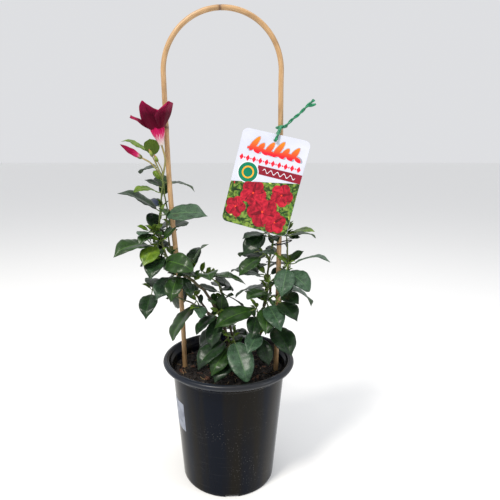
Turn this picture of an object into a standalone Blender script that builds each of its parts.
"""A potted climbing plant: a black nursery pot, potting mix, a bent cane hoop, twining stems,
sprays of opposite leaves, one open trumpet bloom with its buds, a hanging plant label and ties.

Run it with: blender --background --python part.py
The frame is metres, +Z up, with the origin at the centre of the pot's underside. The tables of
places below are in millimetres. +X is the viewer's right, and -Y is the side that faces them.
"""

import math
import random

import bmesh
import bpy
from mathutils import Matrix, Vector
from mathutils.bvhtree import BVHTree

MM = 0.001
GAP = 0.3  # mm left between solids that would otherwise touch

# ---------------------------------------------------------------- pot, mm
POT_HEIGHT = 192.0
POT_BASE_RADIUS = 72.3
POT_TOP_RADIUS = 88.0  # outside of the wall, just under the rim
RIM_RADIUS = 100.0
RIM_DEPTH = 8.0
WALL = 1.6
FLOOR = 2.0
STACKING_STEP = 1.0  # the wall steps out this much below the rim
STEP_DROP = 17.0
POT_SIDES = 36
NOTCH_COUNT = 4
NOTCH_WIDTH = 19.0
NOTCH_HEIGHT = 4.5
NOTCH_DEPTH = 24.0
NOTCH_TURN = -86.0  # degrees, the notch nearest the viewer

# ---------------------------------------------------------------- potting mix, mm
SOIL_TOP = 168.0
SOIL_FLAT_RADIUS = 44.0
SOIL_EDGE_RISE = 2.5

# ---------------------------------------------------------------- cane hoop, mm
CANE_RADIUS = 3.75
CANE_SIDES = 8
ARCH_CENTRE = (-8.5, 606.5)  # x, z
ARCH_RADIUS = 80.5
ARCH_STEPS = 16
LEFT_LEG = ((-66, 3, 95), (-68, 4, 174), (-71, 2, 275), (-80, 0, 385), (-85, 0, 467), (-88, 0, 563))
RIGHT_LEG = ((72, 0, 582), (74, -1, 440), (74, -3, 280), (73, -5, 170), (71, -6, 95))
LEG_STEP = 55.0  # mm between two rings of a leg
LENGTH_CUT = 0.55  # mm that each of the hoop's four lengths is drawn in at either end
KNOT_SWELL = 1.16  # a cane's knot is this much wider than the cane
KNOT_HALF = 2.5
KNOT_HEIGHTS = (("left", 532), ("left", 300), ("right", 290), ("right", 505))

# ---------------------------------------------------------------- label and ties, mm
TAG_SIZE = (95.0, 132.0)
TAG_THICK = 0.8
TAG_CORNER = 8.0
TAG_CENTRE = (50.0, -25.0, 458.0)
TAG_ROLL = 13.0  # degrees, its right side hangs lower
TAG_TURN = 14.0  # degrees, its right side stands nearer the viewer
TAG_LEAN = 5.0  # degrees, its foot stands further out than its top
TAG_HOLE_RADIUS = 3.4
TAG_HOLE_DROP = 8.0
TIE_RADIUS = 1.0
TIE_CENTRE = (74.0, -1.0, 533.0)  # on the cane
TIE_LOOP = 6.4
TIE_SLOPE = 0.15
TIE_KNOT = (74.0, -8.5, 532.0)
TIE_SIDES = 5
TIE_TAIL = ((79, -7, 534), (88, -10, 543), (97, -11, 550), (107, -12, 560), (116, -12, 568))
TIE_SPLIT = ((107, -12, 560), (114, -14, 561), (118, -15, 562))
STEM_TIE = {"centre": (80, 0, 369), "across": 12.5, "deep": 8.0, "slope": 0.28, "radius": 0.9}

# ---------------------------------------------------------------- stems, mm
# name: points from its foot to its tip, radius at the foot, radius at the tip, limb it leaves
STEMS = {
    "left_stem": (((4, -3, 0), (0, -4, 210), (-8, -6, 245), (-22, -8, 276), (-36, -8, 298),
                   (-52, -10, 313), (-69, -12, 329), (-89, -11, 350), (-97, -6, 372),
                   (-102, 3, 393), (-100, 5, 409), (-98, 5, 427)), 2.7, 1.3, None),
    "left_twiner": (((-3, 6, 0), (-14, 12, 215), (-36, 16, 262), (-60, 15, 300), (-76, 12, 330),
                     (-87, 9, 362), (-91, 7, 392), (-90, 8, 420), (-93, 7, 436)), 2.2, 1.0, None),
    "cross_shoot": (((-8, -6, 245), (-24, -14, 262), (-42, -15, 275), (-63, -15, 285),
                     (-82, -14, 292), (-103, -12, 297)), 1.5, 0.9, "left_stem"),
    "centre_stem": (((9, 6, 0), (6, 6, 215), (0, 5, 250), (-8, 3, 282), (-15, 1, 306)), 2.3, 1.2, None),
    "front_stem": (((13, -9, 0), (10, -14, 188), (7, -18, 205)), 2.0, 1.3, None),
    "right_stem": (((16, 5, 0), (28, 3, 212), (44, 1, 250), (57, 3, 278), (64, 6, 298),
                    (59, 5, 318), (61, 6, 342), (65, 6, 362), (66, 6, 376)), 2.5, 1.2, None),
    "right_twiner": (((19, -4, 0), (38, -10, 214), (61, -14, 254), (79, -13, 290), (88, -8, 324),
                      (87, -1, 352), (86, 2, 374)), 2.2, 1.1, None),
}
STEM_SIDES = 6
STEM_STEP = 18.0  # mm between two rings of a stem
ROOT_FLARE = 1.35
FLARE_HEIGHT = 14.0

# ---------------------------------------------------------------- leaves and sprays
# Leaves stand in opposite pairs along a twig, evenly spaced up to its tip.
LEAF_STATIONS = (0.17, 0.48, 0.81)
LEAF_WIDTH = 0.55  # of its length
LEAF_THICK = 0.013  # of its length
LEAF_LEAST_THICK = 0.55  # mm
LEAF_FOLD = 13.0  # degrees that each half rises from the midrib
LEAF_ARCH = 0.06  # of its length
PETIOLE = 9.0  # mm
LIGHT = (0.0, -0.75, 0.66)  # the way to the light, which every leaf turns its face to
SUNWARD = (0.0, 0.75)  # the least and most share of that turn
PETIOLE_RADIUS = 0.75
TWIG_RADIUS = (1.25, 0.8)
FIRST_NODE = 0.4  # of the twig's length
TWIN_TILT = -0.3  # and rises by this share of the first's rise
SPREAD = 7.0  # degrees of seeded scatter in a leaf's heading
ROLL = 16.0  # degrees of seeded scatter about a leaf's length
SET_ROLL = 0.35  # share of that left to a leaf whose turn to the light is given
CLEAR = 0.55  # mm that a leaf is kept away from whatever stands there already
TURNS = ((0, 0), (10, 8), (-10, 8), (20, -8), (-20, -8), (32, 12), (-32, 12), (0, 24), (0, -24),
         (48, 0), (-48, 0))  # degrees of turn and lift, tried in this order
TWIG_TURNS = (0, 18, -18, 36, -36, 60, -60)
FIRST_SEED = 11  # the first spray's, and each next spray's is one more
FLOWER_SEED = 7

# spray: (limb, height of its foot in mm, run of its twig in mm, pairs from its foot to its tip)
# pair: (heading, rise, length of the first leaf in mm, share of that in the second[, how far the
# first turns its face to the light])
SPRAYS = {
    "spray_front_big": ("front_stem", 205, (0, -5, 26), ((-71, -39, 62, 0, 1.0),)),
    "spray_left_reach": ("left_stem", 398, (4, -16, 14), ((-14, 2, 60, 0, 0.75),)),
    "spray_right_round": ("right_twiner", 328, (-3, -12, 12), ((-107, -27, 52, 0, 1.0),)),
    "spray_left_round": ("left_stem", 351, (-9, -8, -4), ((-42, -4, 54, 0, 1.0),)),
    "spray_centre_crown": ("centre_stem", 306, (-27, -3, 14),
                           ((42, -38, 44, 0), (-54, 17, 44, 0.9, 0.1), (-48, 1, 50, 0, 0.5),
                            (-13, 0, 56, 0.7, 0.1), (60, 60, 16, 0.84))),
    "spray_left_upper": ("left_stem", 404, (4, 6, 22),
                         ((-169, 30, 60, 0, 0.25), (130, 8, 40, 0.7, 0.6), (-60, 50, 16, 0.84))),
    "spray_left_shoulder": ("left_stem", 381, (-15, 0, 5),
                            ((-117, -12, 36, 0.6, 0.3), (108, 40, 34, 0.5), (-112, 2, 34, 0.7, 0.3),
                             (-150, 25, 18, 0.84))),
    "spray_left_far": ("left_stem", 368, (-16, 5, -1),
                       ((-107, -20, 46, 0.5, 1.0), (-141, -10, 62, 0.4, 0.35))),
    "spray_left_elbow": ("left_stem", 353, (-20, 12, 6),
                         ((-92, -32, 52, 0.7, 0.9), (139, -35, 46, 0.5), (-94, -20, 32, 0.8, 0.6))),
    "spray_left_inner": ("left_stem", 318, (-1, 9, 9),
                         ((-40, 12, 30, 0), (75, 38, 42, 0.5), (-31, 57, 50, 0, 0.3))),
    "spray_left_bend": ("left_stem", 330, (-3, -9, -3), ((-102, -34, 44, 0, 0.6), (-60, -30, 36, 0))),
    "spray_left_under": ("left_twiner", 300, (3, -7, 10), ((162, -58, 54, 0, 1.0),)),
    "spray_left_side": ("left_twiner", 322, (-9, -8, -2), ((110, -30, 46, 0), (-109, -22, 50, 0, 0.6))),
    "spray_left_back": ("left_twiner", 385, (4, 12, 8), ((60, 10, 44, 0.6), (115, -12, 46, 0))),
    "spray_left_top": ("left_twiner", 436, (-1, 5, 20), ((95, 20, 34, 0.6), (27, -12, 46, 0, 0.2))),
    "spray_cross_tip": ("cross_shoot", 300, (-9, 6, 1), ((-88, -23, 48, 0.8, 0.9),)),
    "spray_cross_middle": ("cross_shoot", 276, (-4, 10, 6), ((-93, -20, 34, 0), (-137, -39, 60, 0, -0.9))),
    "spray_centre_back": ("centre_stem", 284, (-3, 8, 14), ((24, -40, 44, 0.8), (100, -10, 50, 0.5))),
    "spray_centre_low": ("centre_stem", 236, (-14, -4, 10), ((160, -35, 52, 0), (-109, 68, 40, 0.8, 0.6))),
    "spray_centre_dark": ("left_stem", 262, (2, -10, 8), ((-110, -50, 44, 0.6), (-150, -30, 40, 0))),
    "spray_front_low": ("front_stem", 196, (-9, -2, 34),
                        ((-109, -25, 56, 0, 0.7), (-120, -21, 54, 0, 0.9), (60, -20, 44, 0),
                         (-154, -36, 58, 0, 0.3))),
    "spray_front_right": ("right_twiner", 228, (1, -11, 16), ((-60, -50, 40, 0), (-118, -17, 46, 0.6, 0.9))),
    "spray_right_reach": ("right_stem", 256, (-5, -13, 17), ((-115, -32, 44, 0), (-154, -17, 64, 0, 0.45))),
    "spray_right_front": ("right_twiner", 258, (-6, 6, 22),
                          ((-96, -19, 42, 0, 0.8), (-129, -27, 54, 0, 0.7), (-77, -18, 54, 0.5, 1.0))),
    "spray_right_hang": ("right_twiner", 244, (13, 10, 1), ((-20, -40, 40, 0), (-65, -24, 56, 0, 0.5))),
    "spray_right_inner": ("right_stem", 288, (-1, -7, 18),
                          ((-138, -3, 40, 0.8, 0.5), (-173, -24, 58, 0.7, -0.05))),
    "spray_right_knee": ("right_stem", 314, (-9, -8, 8), ((-150, 12, 36, 0, 0.3), (147, -11, 54, 0, 0.05))),
    "spray_right_middle": ("right_stem", 346, (-20, -10, 11),
                           ((-147, -31, 44, 0.8, 0.4), (131, -16, 38, 0.8, 0.1))),
    "spray_right_top": ("right_stem", 372, (-9, 4, 14),
                        ((131, -20, 38, 0.7, 0.3), (-147, -1, 38, 0.8, 0.3), (-125, -26, 44, 0.6, 0.9))),
    "spray_right_heart": ("right_twiner", 308, (-3, 5, 30),
                          ((-96, -17, 36, 0.8), (-60, -13, 50, 0, 0.6), (70, 10, 40, 0))),
    "spray_right_outer": ("right_twiner", 266, (12, 10, 42),
                          ((-52, -18, 48, 0, 0.5), (-57, -12, 38, 0.7, 0.9), (18, -31, 56, 0.4))),
    "spray_right_far": ("right_twiner", 333, (3, 3, 5), ((-26, 16, 54, 0.7, 0.0),)),
    "spray_right_crest": ("right_twiner", 366, (-1, 6, 18),
                          ((-133, -17, 36, 0.6, 0.8), (30, -9, 40, 0.8, 0.0), (-39, 8, 36, 0.8, 0.15))),
    "spray_back_right": ("right_stem", 270, (4, 16, 14), ((60, -20, 50, 0), (110, -8, 50, 0.6))),
    "spray_back_high": ("right_stem", 330, (4, 13, 12), ((70, -10, 46, 0.5), (150, 5, 44, 0))),
    "spray_back_low": ("centre_stem", 212, (3, 18, 14), ((50, -24, 54, 0.6), (120, -20, 52, 0.5))),
}

# ---------------------------------------------------------------- flowering shoot, mm
SHOOT_STALK = ((-98, 5, 428), (-96, 2, 444), (-93, -6, 458), (-96, -7, 470), (-102, -3, 484), (-106, 0, 496))
# share of the stalk, heading, rise, length
SHOOT_LEAVES = ((0.10, 81, 36, 34), (0.22, -126, 8, 40), (0.33, 157, 20, 26), (0.5, 150, 45, 20),
                (0.78, 134, -6, 38), (1.0, 165, 26, 44), (0.95, -100, 50, 22))
BLOOM_FOOT = (-93, -9.5, 462)
BLOOM_STALK = (BLOOM_FOOT, (-90, -11, 475), (-88, -12, 490), (-92, -14, 508))
BUD_STALK = (BLOOM_FOOT, (-98, -13, 472), (-108, -15, 484), (-120, -16, 491))
BUD = ((-120, -16, 491), (-148, -20, 509))
BUD_RADIUS = 4.6
SMALL_BUDS = (((-97, -13, 474), (-105, -19, 494)), ((-93, -12, 474), (-98, -19, 487)))
SMALL_BUD = (9.0, 1.7)  # length, radius
TUBE_BASE = (-92, -14, 508)
TUBE_MOUTH = (-97, -19, 533)
TUBE_RADII = (2.2, 4.2, 8.4, 10.0)
TUBE_WALL = 1.0
TUBE_SIDES = 10
PETAL_TIPS = ((-116, -40, 563), (-78, -42, 562), (-134, -20, 543), (-112, -2, 560), (-84, -14, 556))
PETAL_WIDTH = 0.86
PETAL_FOLD = 14.0
PETAL_CURL = -0.07
PETAL_LEAST_THICK = 0.8

COLOURS = {  # sRGB, roughness
    "pot": ((0.022, 0.024, 0.028), 0.32),
    "soil": ((0.055, 0.040, 0.030), 0.95),
    "cane": ((0.78, 0.62, 0.40), 0.50),
    "tag": ((0.93, 0.93, 0.92), 0.35),
    "green_tie": ((0.05, 0.47, 0.27), 0.40),
    "black_tie": ((0.03, 0.03, 0.035), 0.45),
    "stem": ((0.20, 0.17, 0.10), 0.70),
    "leaf": ((0.13, 0.25, 0.13), 0.38),
    "bloom": ((0.42, 0.02, 0.13), 0.50),
}


# ================================================================ small helpers
def clear_scene():
    for old in list(bpy.data.objects):
        bpy.data.objects.remove(old, do_unlink=True)


def linear(value):
    """An sRGB channel as linear light."""
    return value / 12.92 if value <= 0.04045 else ((value + 0.055) / 1.055) ** 2.4


def make_materials():
    made = {}
    for name, (colour, roughness) in COLOURS.items():
        material = bpy.data.materials.new(name)
        material.use_nodes = True
        shader = material.node_tree.nodes["Principled BSDF"]
        shader.inputs["Base Color"].default_value = (*[linear(c) for c in colour], 1.0)
        shader.inputs["Roughness"].default_value = roughness
        made[name] = material
    return made


def smooth_route(points, step):
    """A smooth curve through the points, as points about one step apart."""
    knots = [Vector(p) for p in points]
    ends = [2 * knots[0] - knots[1], *knots, 2 * knots[-1] - knots[-2]]
    route = []
    for before, start, end, after in zip(ends, ends[1:], ends[2:], ends[3:]):
        count = max(1, round((end - start).length / step))
        for i in range(count):
            t = i / count
            route.append(0.5 * (2 * start + (end - before) * t
                                + (2 * before - 5 * start + 4 * end - after) * t ** 2
                                + (3 * start - before - 3 * end + after) * t ** 3))
    route.append(knots[-1])
    return route


def tapered(start, end, count):
    """Radii that go evenly from start to end."""
    return [start + (end - start) * i / (count - 1) for i in range(count)]


def tube_mesh(route, radii, sides, flat_foot=False, closed=False):
    """A bmesh tube along the route, with flat ends, or joined end to end when closed."""
    bm = bmesh.new()
    rings = []
    across = None
    for i, (place, radius) in enumerate(zip(route, radii)):
        after = route[(i + 1) % len(route)] if closed or i + 1 < len(route) else place
        before = route[i - 1] if closed or i else place
        ahead = (after - before).normalized()
        if flat_foot and i == 0:
            ahead = Vector((0, 0, 1))
        if across is None:
            across = ahead.orthogonal().normalized()
        across = (across - across.dot(ahead) * ahead).normalized()
        other = ahead.cross(across)
        turns = [2 * math.pi * s / sides for s in range(sides)]
        rings.append([bm.verts.new((place + radius * (math.cos(a) * across + math.sin(a) * other)) * MM)
                      for a in turns])
    pairs = list(zip(rings, rings[1:]))
    if closed:
        pairs.append((rings[-1], rings[0]))
    for lower, upper in pairs:
        for s in range(sides):
            bm.faces.new((lower[s], lower[(s + 1) % sides], upper[(s + 1) % sides], upper[s]))
    if not closed:
        bm.faces.new(rings[0][::-1])
        bm.faces.new(rings[-1])
    bmesh.ops.recalc_face_normals(bm, faces=bm.faces)
    return bm


def turned_mesh(profile, sides):
    """A bmesh turned about Z from (radius, height) points in mm, down its outer side."""
    bm = bmesh.new()
    verts = [bm.verts.new((r * MM, 0, z * MM)) for r, z in profile]
    edges = [bm.edges.new(pair) for pair in zip(verts, verts[1:])]
    bmesh.ops.spin(bm, geom=verts + edges, cent=(0, 0, 0), axis=(0, 0, 1),
                   angle=2 * math.pi, steps=sides, use_duplicate=False)
    bmesh.ops.remove_doubles(bm, verts=bm.verts, dist=1e-6)
    bmesh.ops.recalc_face_normals(bm, faces=bm.faces)
    return bm


def object_from(name, bm, material=None, sharp=math.radians(40)):
    mesh = bpy.data.meshes.new(name)
    bm.to_mesh(mesh)
    bm.free()
    obj = bpy.data.objects.new(name, mesh)
    bpy.context.scene.collection.objects.link(obj)
    if material:
        mesh.materials.append(material)
        mesh.shade_smooth()
        mesh.set_sharp_from_angle(angle=sharp)
    return obj


def apply_boolean(obj, operation, cutters, solver="EXACT"):
    """Cuts the cutters from obj, or joins them to it, and removes them."""
    group = bpy.data.collections.new(obj.name + "_tools")
    bpy.context.scene.collection.children.link(group)
    for cutter in cutters:
        bpy.context.scene.collection.objects.unlink(cutter)
        group.objects.link(cutter)
    modifier = obj.modifiers.new(operation.title(), "BOOLEAN")
    modifier.operation = operation
    modifier.operand_type = "COLLECTION"
    modifier.collection = group
    modifier.solver = solver
    made = bpy.data.meshes.new_from_object(obj.evaluated_get(bpy.context.evaluated_depsgraph_get()))
    obj.modifiers.remove(modifier)
    for cutter in list(group.objects):
        bpy.data.objects.remove(cutter, do_unlink=True)
    bpy.data.collections.remove(group)
    return made


def open_edges(mesh):
    bm = bmesh.new()
    bm.from_mesh(mesh)
    count = sum(1 for edge in bm.edges if len(edge.link_faces) != 2)
    bm.free()
    return count


def largest_piece(mesh):
    """The mesh with any loose scrap dropped and its faces made triangles."""
    bm = bmesh.new()
    bm.from_mesh(mesh)
    left = set(bm.verts)
    pieces = []
    while left:
        piece, front = set(), [next(iter(left))]
        while front:
            vert = front.pop()
            if vert in piece:
                continue
            piece.add(vert)
            front += [edge.other_vert(vert) for edge in vert.link_edges]
        pieces.append(piece)
        left -= piece
    keep = max(pieces, key=len)
    bmesh.ops.delete(bm, geom=[v for v in bm.verts if v not in keep], context="VERTS")
    bmesh.ops.triangulate(bm, faces=bm.faces)
    bm.to_mesh(mesh)
    bm.free()
    return mesh


# ================================================================ pot and potting mix
def wall_radius(height):
    """The outside of the pot's wall at a height in mm."""
    stepped = STACKING_STEP if height < POT_HEIGHT - STEP_DROP else 0.0
    return POT_BASE_RADIUS + (POT_TOP_RADIUS - POT_BASE_RADIUS) * height / POT_HEIGHT - stepped


def make_pot(materials):
    bead = RIM_DEPTH / 2
    top = POT_HEIGHT
    under = top - RIM_DEPTH
    step = top - STEP_DROP
    profile = [
        (0, FLOOR),
        (wall_radius(FLOOR) - WALL, FLOOR),
        (wall_radius(step - 1) - WALL, step - 1),
        (wall_radius(under) - WALL, under - 1),
        (RIM_RADIUS - 2.35 * bead, top - 0.6 * bead),
        (RIM_RADIUS - 1.95 * bead, top - 0.15 * bead),
        (RIM_RADIUS - 1.1 * bead, top),
        (RIM_RADIUS - 0.35 * bead, top - 0.3 * bead),
        (RIM_RADIUS, top - bead),
        (RIM_RADIUS - 0.35 * bead, top - 1.8 * bead),
        (RIM_RADIUS - 0.8 * bead, under),
        (wall_radius(under) + 0.9, under - 0.4),
        (wall_radius(under), under - 2.0),
        (wall_radius(step + 1), step + 1),
        (wall_radius(step - 1), step - 1),
        (wall_radius(1.5), 1.5),
        (wall_radius(0) - 1.2, 0),
        (0, 0),
    ]
    pot = object_from("pot", turned_mesh(profile[::-1], POT_SIDES), materials["pot"])
    cutters = []
    for i in range(NOTCH_COUNT):
        bm = bmesh.new()
        size = Matrix.Diagonal((NOTCH_DEPTH * MM, NOTCH_WIDTH * MM, 2 * NOTCH_HEIGHT * MM, 1))
        bmesh.ops.create_cube(bm, size=1.0, matrix=size)
        turn = math.radians(NOTCH_TURN + 360 * i / NOTCH_COUNT)
        bm.transform(Matrix.Rotation(turn, 4, "Z") @ Matrix.Translation((POT_BASE_RADIUS * MM, 0, 0)))
        cutters.append(object_from(f"notch_{i}", bm))
    pot.data = apply_boolean(pot, "DIFFERENCE", cutters)
    return pot


def make_soil(materials, legs):
    low = FLOOR + GAP
    step = POT_HEIGHT - STEP_DROP
    edge = SOIL_TOP + SOIL_EDGE_RISE
    profile = [
        (0, SOIL_TOP),
        (SOIL_FLAT_RADIUS, SOIL_TOP),
        (SOIL_FLAT_RADIUS + 22, edge),
        (wall_radius(step - 1) - WALL - GAP - 0.5, edge - 1),
        (wall_radius(low) - WALL - GAP, low),
        (0, low),
    ]
    soil = object_from("potting_mix", turned_mesh(profile, POT_SIDES), materials["soil"])
    sockets = []
    for i, (route, radii) in enumerate(legs):
        wide = [radius + GAP for radius in radii]
        ends = [route[0] + Vector((0, 0, -GAP)), *route[1:]]
        sockets.append(object_from(f"socket_{i}", tube_mesh(ends, wide, CANE_SIDES)))
    soil.data = apply_boolean(soil, "DIFFERENCE", sockets)
    return soil


# ================================================================ cane hoop
def hoop_route():
    """The hoop's centre line, up the left leg, over the arch and down the right leg."""
    left = smooth_route(LEFT_LEG, LEG_STEP)
    right = smooth_route(RIGHT_LEG, LEG_STEP)
    arch = []
    for i in range(ARCH_STEPS + 1):
        turn = math.pi - math.pi * i / ARCH_STEPS
        arch.append(Vector((ARCH_CENTRE[0] + ARCH_RADIUS * math.cos(turn), 0,
                            ARCH_CENTRE[1] + ARCH_RADIUS * math.sin(turn))))
    return left, arch, right


def with_knots(route, side):
    """The leg's route and radii, with each knot as a narrow swelling."""
    heights = [height for knot_side, height in KNOT_HEIGHTS if knot_side == side]
    stops = [(place, CANE_RADIUS) for place in route]
    for height in heights:
        for offset, swell in ((-KNOT_HALF, 1.0), (0.0, KNOT_SWELL), (KNOT_HALF, 1.0)):
            for low, high in zip(route, route[1:]):
                share = (height + offset - low.z) / (high.z - low.z)
                if 0 <= share < 1:
                    stops.append((low.lerp(high, share), CANE_RADIUS * swell))
    upward = route[-1].z > route[0].z
    stops.sort(key=lambda stop: stop[0].z if upward else -stop[0].z)
    spaced = [stops[0]]
    for stop in stops[1:]:
        if (stop[0] - spaced[-1][0]).length > 1.0:
            spaced.append(stop)
    return spaced


def drawn_in(stops):
    """A length of cane drawn in at both ends, so that it stays clear of the next one."""
    route, radii = [place for place, _ in stops], [radius for _, radius in stops]
    first, last = (route[1] - route[0]).normalized(), (route[-2] - route[-1]).normalized()
    route[0], route[-1] = route[0] + first * LENGTH_CUT, route[-1] + last * LENGTH_CUT
    return route, radii


def make_hoop(materials):
    """The hoop as four lengths, each with little bend, from its left foot to its right foot."""
    left, arch, right = hoop_route()
    bent = [(place, CANE_RADIUS) for place in arch]
    crown = len(bent) // 2
    lengths = {
        "cane_left_leg": with_knots(left, "left") + bent[:1],
        "cane_left_arch": bent[:crown + 1],
        "cane_right_arch": bent[crown:],
        "cane_right_leg": bent[-1:] + with_knots(right, "right"),
    }
    return [object_from(name, tube_mesh(*drawn_in(stops), CANE_SIDES), materials["cane"])
            for name, stops in lengths.items()]


def buried_legs():
    """Route and radii of each leg below the top of the mix, foot first, and a little above it."""
    left, _, right = hoop_route()
    legs = []
    for side, route in (("left", left), ("right", right)):
        stops = with_knots(route, side)
        if side == "right":
            stops.reverse()
        count = next(i for i, (place, _) in enumerate(stops) if place.z > SOIL_TOP + 12)
        below = stops[:count + 1]
        legs.append(([place for place, _ in below], [radius for _, radius in below]))
    return legs


# ================================================================ label and ties
def tag_matrix():
    """Takes the label's own face, X across and Z up, to its place."""
    return (Matrix.Translation(Vector(TAG_CENTRE) * MM)
            @ Matrix.Rotation(math.radians(-TAG_TURN), 4, "Z")
            @ Matrix.Rotation(math.radians(-TAG_LEAN), 4, "X")
            @ Matrix.Rotation(math.radians(TAG_ROLL), 4, "Y"))


def make_tag(materials):
    half_width, half_height = TAG_SIZE[0] / 2, TAG_SIZE[1] / 2
    bm = bmesh.new()
    outline = []
    for corner, (sx, sz) in enumerate(((1, 1), (-1, 1), (-1, -1), (1, -1))):
        for i in range(5):
            turn = math.radians(90 * corner + 90 * i / 4)
            x = sx * (half_width - TAG_CORNER) + TAG_CORNER * math.cos(turn)
            z = sz * (half_height - TAG_CORNER) + TAG_CORNER * math.sin(turn)
            outline.append(bm.verts.new((x * MM, TAG_THICK / 2 * MM, z * MM)))
    face = bm.faces.new(outline)
    made = bmesh.ops.extrude_face_region(bm, geom=[face])["geom"]
    bmesh.ops.translate(bm, verts=[v for v in made if isinstance(v, bmesh.types.BMVert)],
                        vec=(0, -TAG_THICK * MM, 0))
    bmesh.ops.recalc_face_normals(bm, faces=bm.faces)
    tag = object_from("plant_tag", bm, materials["tag"])
    hole = bmesh.new()
    bmesh.ops.create_cone(hole, segments=16, radius1=TAG_HOLE_RADIUS * MM, radius2=TAG_HOLE_RADIUS * MM,
                          depth=6 * MM, cap_ends=True,
                          matrix=Matrix.Translation((0, 0, (half_height - TAG_HOLE_DROP) * MM))
                          @ Matrix.Rotation(math.pi / 2, 4, "X"))
    tag.data = apply_boolean(tag, "DIFFERENCE", [object_from("tag_hole", hole)])
    tag.data.transform(tag_matrix())
    return tag


def ring_route(centre, across, deep, slope, steps):
    """A closed loop round a centre, its height sloping with x."""
    centre = Vector(centre)
    turns = [2 * math.pi * i / steps for i in range(steps)]
    return [centre + Vector((across * math.cos(a), deep * math.sin(a), slope * across * math.cos(a)))
            for a in turns]


def make_tag_tie(materials):
    """A twist tie: a loop round the cane, a loop through the label's hole, and two twisted tails."""
    loop = ring_route(TIE_CENTRE, TIE_LOOP, TIE_LOOP, TIE_SLOPE, 10)
    hole = (tag_matrix() @ Vector((0, 0, (TAG_SIZE[1] / 2 - TAG_HOLE_DROP) * MM))) / MM
    knot = Vector(TIE_KNOT)
    pull = hole - knot
    strap = [knot + Vector((0, 0, 2)), knot.lerp(hole, 0.5) + Vector((0, -7, 3)),
             hole + Vector((0, -5, 1)), hole, hole + Vector((0, 5, 1)),
             knot.lerp(hole, 0.5) + Vector((0, 5, 4)), knot + Vector((-1, 1.5, 2))]
    strap = smooth_route(strap, pull.length / 3)
    tail = smooth_route(TIE_TAIL, 9)
    split = smooth_route(TIE_SPLIT, 6)
    tie = object_from("tag_tie", tube_mesh(loop, [TIE_RADIUS] * len(loop), TIE_SIDES, closed=True),
                      materials["green_tie"])
    parts = [
        object_from("strap", tube_mesh(strap, [TIE_RADIUS] * len(strap), TIE_SIDES)),
        object_from("tail", tube_mesh([knot, *tail], tapered(2.0, 1.2, len(tail) + 1), TIE_SIDES)),
        object_from("split", tube_mesh(split, tapered(1.2, 0.9, len(split)), TIE_SIDES)),
    ]
    tie.data = largest_piece(apply_boolean(tie, "UNION", parts))
    return tie


def make_stem_tie(materials):
    size = STEM_TIE
    route = ring_route(size["centre"], size["across"], size["deep"], size["slope"], 14)
    bm = tube_mesh(route, [size["radius"]] * len(route), TIE_SIDES, closed=True)
    return object_from("stem_tie", bm, materials["black_tie"])


# ================================================================ stems
def stem_routes():
    """Each stem's centre line and radii, with its foot flat on the mix or clear of its limb."""
    routes = {}
    for name, (points, foot, tip, limb) in STEMS.items():
        places = [Vector(p) for p in points]
        if limb is None:
            places[0].z = SOIL_TOP + GAP
        else:
            start, ahead = places[0], (places[1] - places[0]).normalized()
            _, along, thick = limb_place(routes[limb], start.z)
            places[0] = start + ahead * (thick + foot + GAP) / ahead.cross(along).length
        route = smooth_route(places, STEM_STEP)
        radii = tapered(foot, tip, len(route))
        if limb is None:
            route.insert(1, route[0].lerp(route[1], FLARE_HEIGHT / (route[1] - route[0]).length))
            radii.insert(1, radii[0])
            radii[0] *= ROOT_FLARE
        routes[name] = (route, radii)
    return routes


def limb_place(routed, height):
    """The point, direction and radius of a limb at a height in mm, or at its tip."""
    route, radii = routed
    for i in range(len(route) - 1):
        low, high = route[i], route[i + 1]
        if low.z <= height < high.z:
            share = (height - low.z) / (high.z - low.z)
            return low.lerp(high, share), (high - low).normalized(), radii[i]
    return route[-1], (route[-1] - route[-2]).normalized(), radii[-1]


def make_stems(materials, routes):
    made = []
    for name, (route, radii) in routes.items():
        bm = tube_mesh(route, radii, STEM_SIDES, flat_foot=STEMS[name][3] is None)
        made.append(object_from(name, bm, materials["stem"]))
    return made


# ================================================================ leaves
def leaf_frame(heading, rise, roll, sunward):
    """Unit vectors along a leaf, to its side and out of its face, which leans towards the light."""
    heading, rise, roll = (math.radians(a) for a in (heading, rise, roll))
    along = Vector((math.cos(rise) * math.cos(heading), math.cos(rise) * math.sin(heading), math.sin(rise)))
    level = Vector((math.sin(heading), -math.cos(heading), 0)).cross(along)
    light = Vector(LIGHT)
    lit = (light - light.dot(along) * along).normalized()
    face = Matrix.Rotation(roll, 3, along) @ level.lerp(lit, sunward).normalized()
    return along, along.cross(face), face


def half_width(share):
    """A leaf's half width at a share of its length, as a share of its widest."""
    return math.sin(math.pi * share ** 0.9) ** 0.75


def blade_mesh(base, frame, length, width, thick, fold, arch, grow=0.0):
    """A lens-shaped blade: two faces that meet in its outline, thickest along the midrib."""
    along, side, face = frame
    bm = bmesh.new()

    def vertex(share, across, lift):
        bow = arch * length * 4 * share * (1 - share)
        rise = abs(across) * math.tan(math.radians(fold))
        place = base + along * (share * length) + side * across + face * (bow + rise + lift)
        return bm.verts.new(place * MM)

    root = vertex(0, 0, 0)
    tip = vertex(1, 0, 0)
    rows = []
    for share in LEAF_STATIONS:
        reach = width * length / 2 * half_width(share) + grow
        rows.append((vertex(share, -reach, 0), vertex(share, 0, thick / 2 + grow), vertex(share, reach, 0),
                     vertex(share, 0, -thick / 2 - grow)))
    for k in range(4):
        bm.faces.new((root, rows[0][k], rows[0][(k + 1) % 4]))
        bm.faces.new((tip, rows[-1][(k + 1) % 4], rows[-1][k]))
        for lower, upper in zip(rows, rows[1:]):
            bm.faces.new((lower[k], upper[k], upper[(k + 1) % 4], lower[(k + 1) % 4]))
    bmesh.ops.triangulate(bm, faces=bm.faces)
    bmesh.ops.recalc_face_normals(bm, faces=bm.faces)
    return bm


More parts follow.
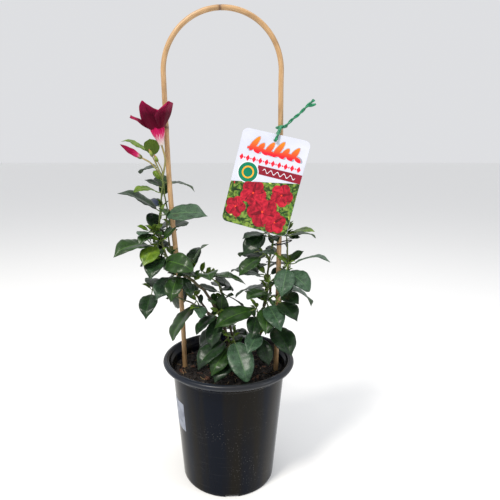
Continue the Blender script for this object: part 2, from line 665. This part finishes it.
def tree_of(bm):
    tree = BVHTree.FromBMesh(bm)
    bm.free()
    return tree


def leaf_variants(node, heading, rise, length, rng, turned=None):
    """The leaf's sizes, drawn once, and its places in the order in which they are tried."""
    heading += rng.uniform(-SPREAD, SPREAD)
    rise += rng.uniform(-SPREAD, SPREAD) / 2
    roll = rng.uniform(-ROLL, ROLL)
    sunward = rng.uniform(*SUNWARD)
    if turned is not None:
        roll *= SET_ROLL
        sunward = turned
    fold = LEAF_FOLD * rng.uniform(0.6, 1.3)
    arch = LEAF_ARCH * rng.uniform(0.3, 1.6)
    width = LEAF_WIDTH * rng.uniform(0.92, 1.08)
    petiole = PETIOLE * min(1.0, length / 40) * rng.uniform(0.85, 1.15)
    for turn, lift in TURNS:
        frame = leaf_frame(heading + turn, rise + lift, roll, sunward)
        yield {"node": node, "base": node + frame[0] * petiole, "frame": frame, "length": length,
               "width": width, "fold": fold, "arch": arch}


def leaf_blade(leaf, grow=0.0):
    thick = max(LEAF_THICK * leaf["length"], LEAF_LEAST_THICK)
    return blade_mesh(leaf["base"], leaf["frame"], leaf["length"], leaf["width"], thick,
                      leaf["fold"], leaf["arch"], grow)


def leaf_petiole(leaf, start=0.0, grow=0.0):
    """The stalk from the twig's middle to inside the blade."""
    along, _, face = leaf["frame"]
    share = LEAF_STATIONS[0] * 1.25
    sunk = leaf["base"] + along * (share * leaf["length"])
    sunk += face * (leaf["arch"] * leaf["length"] * 4 * share * (1 - share))
    first = leaf["node"].lerp(leaf["base"], start)
    thin = min(1.0, leaf["length"] / 30)
    radii = [radius * PETIOLE_RADIUS * thin + grow for radius in (1.0, 0.85, 0.6)]
    return tube_mesh([first, leaf["base"], sunk], radii, 3)


def touches(trees, *probes):
    return any(tree.overlap(probe) for tree in trees for probe in probes)


def grow_leaf(leaves, limbs, grown):
    """The first variant that is clear of the limbs and of all that has grown, or None."""
    for leaf in leaves:
        blade = tree_of(leaf_blade(leaf, CLEAR))
        stalk = tree_of(leaf_petiole(leaf, 0.0, CLEAR / 2))
        outer_stalk = tree_of(leaf_petiole(leaf, 0.5, CLEAR / 2))
        if touches(limbs, blade, stalk) or touches(grown, blade, outer_stalk):
            continue
        grown += [blade, tree_of(leaf_petiole(leaf, 0.3))]
        return leaf
    return None


def fuse(name, trunk, parts, material):
    """One solid of the twig and all that grows on it."""
    obj = object_from(name, trunk)
    spare = obj.data.copy()
    loose = [object_from(f"{name}_{i}", bm) for i, bm in enumerate(parts)]
    copies = [part.copy() for part in loose]
    for copy in copies:
        bpy.context.scene.collection.objects.link(copy)
    made = largest_piece(apply_boolean(obj, "UNION", loose))
    if open_edges(made):
        obj.data = spare
        made = largest_piece(apply_boolean(obj, "UNION", copies, "MANIFOLD"))
    else:
        for copy in copies:
            bpy.data.objects.remove(copy, do_unlink=True)
    obj.data = made
    made.materials.clear()
    made.materials.append(material)
    made.shade_flat()
    return obj


# ================================================================ foliage sprays
def twig_route(routed, height, run, turn):
    """The twig from 0.3 mm off its limb, bowed a little upwards."""
    place, ahead, radius = limb_place(routed, height)
    run = Matrix.Rotation(math.radians(turn), 3, "Z") @ Vector(run)
    out = (run - run.dot(ahead) * ahead).normalized()
    at_tip = place == routed[0][-1]
    slant = run.normalized().cross(ahead).length
    foot = place + (ahead * (GAP + slant * TWIG_RADIUS[0]) if at_tip
                    else out * (radius + TWIG_RADIUS[0] + GAP))
    tip = place + run
    if at_tip:
        tip += ahead * 2
    bow = Vector((0, 0, 0.08 * run.length))
    return smooth_route([foot, foot.lerp(tip, 0.5) + bow, tip], max(4.0, run.length / 4))


def along_route(route, share):
    """The point at a share of the route's steps."""
    place = share * (len(route) - 1)
    step = min(int(place), len(route) - 2)
    return route[step].lerp(route[step + 1], place - step)


def spray_pairs(route, pairs, rng):
    """Every leaf of the spray: its node on the twig, heading, rise, length and turn to the light."""
    for i, pair in enumerate(pairs):
        heading, rise, length, twin = pair[:4]
        turned = pair[4] if len(pair) > 4 else None
        share = 1.0 if len(pairs) == 1 else FIRST_NODE + (1 - FIRST_NODE) * i / (len(pairs) - 1)
        node = along_route(route, 0.94 * share)
        wobble = rng.uniform(-15, 15)
        yield node, heading, rise, length, turned
        if twin:
            yield node, heading + 180 + wobble, TWIN_TILT * rise, length * twin, None


def make_spray(name, seed, routes, limbs, grown, materials):
    limb, height, run, pairs = SPRAYS[name]
    rng = random.Random(seed)
    for turn in TWIG_TURNS:
        route = twig_route(routes[limb], height, run, turn)
        radii = tapered(*TWIG_RADIUS, len(route))
        wide = [radius + CLEAR / 2 for radius in radii]
        probe = tree_of(tube_mesh(route[1:], wide[1:], 3))
        whole = tree_of(tube_mesh(route, radii, 3))
        if not touches(limbs + grown, probe, whole):
            break
    else:
        print(f"{name}: its twig found no room")
        return None
    parts, skipped = [], 0
    for node, heading, rise, length, turned in spray_pairs(route, pairs, rng):
        leaf = grow_leaf(leaf_variants(node, heading, rise, length, rng, turned), limbs, grown)
        if leaf is None:
            skipped += 1
            continue
        parts += [leaf_blade(leaf), leaf_petiole(leaf)]
    grown.append(whole)
    print(f"{name}: {len(parts) // 2} leaves, {skipped} skipped, twig turned {turn}")
    return fuse(name, tube_mesh(route, radii, 3), parts, materials["leaf"])


# ================================================================ flowering spray
def spindle(start, end, radius, sides=6):
    """A pointed bud between two points."""
    start, end = Vector(start), Vector(end)
    shares = (0.0, 0.25, 0.55, 0.8, 1.0)
    widths = (0.35, 0.85, 1.0, 0.6, 0.12)
    return tube_mesh([start.lerp(end, s) for s in shares], [radius * w for w in widths], sides)


def trumpet(base, mouth, radii, wall, sides):
    """A flaring tube with a real wall, open at its mouth."""
    count = len(radii)
    outer = [base.lerp(mouth, i / (count - 1)) for i in range(count)]
    inner = [base.lerp(mouth, (i + 0.35) / (count - 0.65)) for i in range(1, count)]
    route = outer + [mouth + (mouth - base) * 0.001] + inner[::-1]
    bm = bmesh.new()
    ahead = (mouth - base).normalized()
    across = ahead.orthogonal().normalized()
    other = ahead.cross(across)
    sizes = list(radii) + [radii[-1] - wall] + [radius - wall for radius in radii[:0:-1]]
    rings = []
    for place, radius in zip(route, sizes):
        rings.append([bm.verts.new((place + radius * (math.cos(a) * across + math.sin(a) * other)) * MM)
                      for a in (2 * math.pi * s / sides for s in range(sides))])
    for lower, upper in zip(rings, rings[1:]):
        for s in range(sides):
            bm.faces.new((lower[s], lower[(s + 1) % sides], upper[(s + 1) % sides], upper[s]))
    bm.faces.new(rings[0][::-1])
    bm.faces.new(rings[-1])
    bmesh.ops.recalc_face_normals(bm, faces=bm.faces)
    return bm


def petal(mouth, axis, tip):
    """A broad petal from inside the tube's mouth to its tip."""
    tip = Vector(tip)
    out = tip - mouth
    out = (out - out.dot(axis) * axis).normalized()
    base = mouth + out * (TUBE_RADII[-1] - TUBE_WALL * 0.9) - axis * 2.5
    along = (tip - base).normalized()
    side = along.cross(axis).normalized()
    face = side.cross(along)
    if face.dot(out) > 0:
        face, side = -face, -side
    length = (tip - base).length
    return blade_mesh(base, (along, side, face), length, PETAL_WIDTH, PETAL_LEAST_THICK, PETAL_FOLD,
                      PETAL_CURL)


def make_flowering_shoot(seed, limbs, grown, materials):
    """The shoot that the bloom grows from, with its leaves."""
    rng = random.Random(seed)
    stalk = smooth_route(SHOOT_STALK, 9)
    stalk[0] = stalk[0] + Vector((0, 0, GAP + 0.2))
    parts = []
    for share, *leaf_sizes in SHOOT_LEAVES:
        leaf = grow_leaf(leaf_variants(along_route(stalk, share), *leaf_sizes, rng), limbs, grown)
        if leaf:
            parts += [leaf_blade(leaf), leaf_petiole(leaf)]
        else:
            print("spray_flowering: a leaf found no room")
    trunk = tube_mesh(stalk, tapered(*TWIG_RADIUS, len(stalk)), 4)
    limbs.append(BVHTree.FromBMesh(trunk))
    return fuse("spray_flowering", trunk, parts, materials["leaf"])


def make_bloom(materials):
    """The open trumpet, the large bud and two small ones on their own stalks."""
    parts = []
    bud_route = smooth_route(BUD_STALK, 9)
    parts.append(tube_mesh(bud_route, tapered(1.0, 0.9, len(bud_route)), 4))
    for foot, tip in SMALL_BUDS:
        route = [Vector(BLOOM_FOOT), Vector(foot), Vector(tip)]
        parts.append(tube_mesh(route, [0.9, 0.7, 0.7], 3))
        ahead = (route[2] - route[1]).normalized()
        parts.append(spindle(route[2] - ahead, route[2] + ahead * SMALL_BUD[0], SMALL_BUD[1], 5))
    parts.append(spindle(*BUD, BUD_RADIUS))
    base, mouth = Vector(TUBE_BASE), Vector(TUBE_MOUTH)
    axis = (mouth - base).normalized()
    parts.append(trumpet(base, mouth, TUBE_RADII, TUBE_WALL, TUBE_SIDES))
    parts += [petal(mouth, axis, tip) for tip in PETAL_TIPS]
    stalk = smooth_route(BLOOM_STALK, 9)
    trunk = tube_mesh(stalk, tapered(1.2, 1.0, len(stalk)), 4)
    return fuse("bloom_and_buds", trunk, parts, materials["bloom"])


# ================================================================ the whole plant
def tree_of_object(obj):
    bm = bmesh.new()
    bm.from_mesh(obj.data)
    return tree_of(bm)


def main():
    clear_scene()
    materials = make_materials()
    solids = [
        make_pot(materials),
        make_soil(materials, buried_legs()),
        *make_hoop(materials),
        make_tag(materials),
        make_tag_tie(materials),
        make_stem_tie(materials),
    ]
    routes = stem_routes()
    solids += make_stems(materials, routes)
    solids.append(make_bloom(materials))
    limbs, grown = [tree_of_object(obj) for obj in solids], []
    solids.append(make_flowering_shoot(FLOWER_SEED, limbs, grown, materials))
    for seed, name in enumerate(SPRAYS, start=FIRST_SEED):
        spray = make_spray(name, seed, routes, limbs, grown, materials)
        if spray:
            solids.append(spray)
    holder = bpy.data.objects.new("potted_plant", None)
    bpy.context.scene.collection.objects.link(holder)
    for obj in solids:
        obj.parent = holder


main()
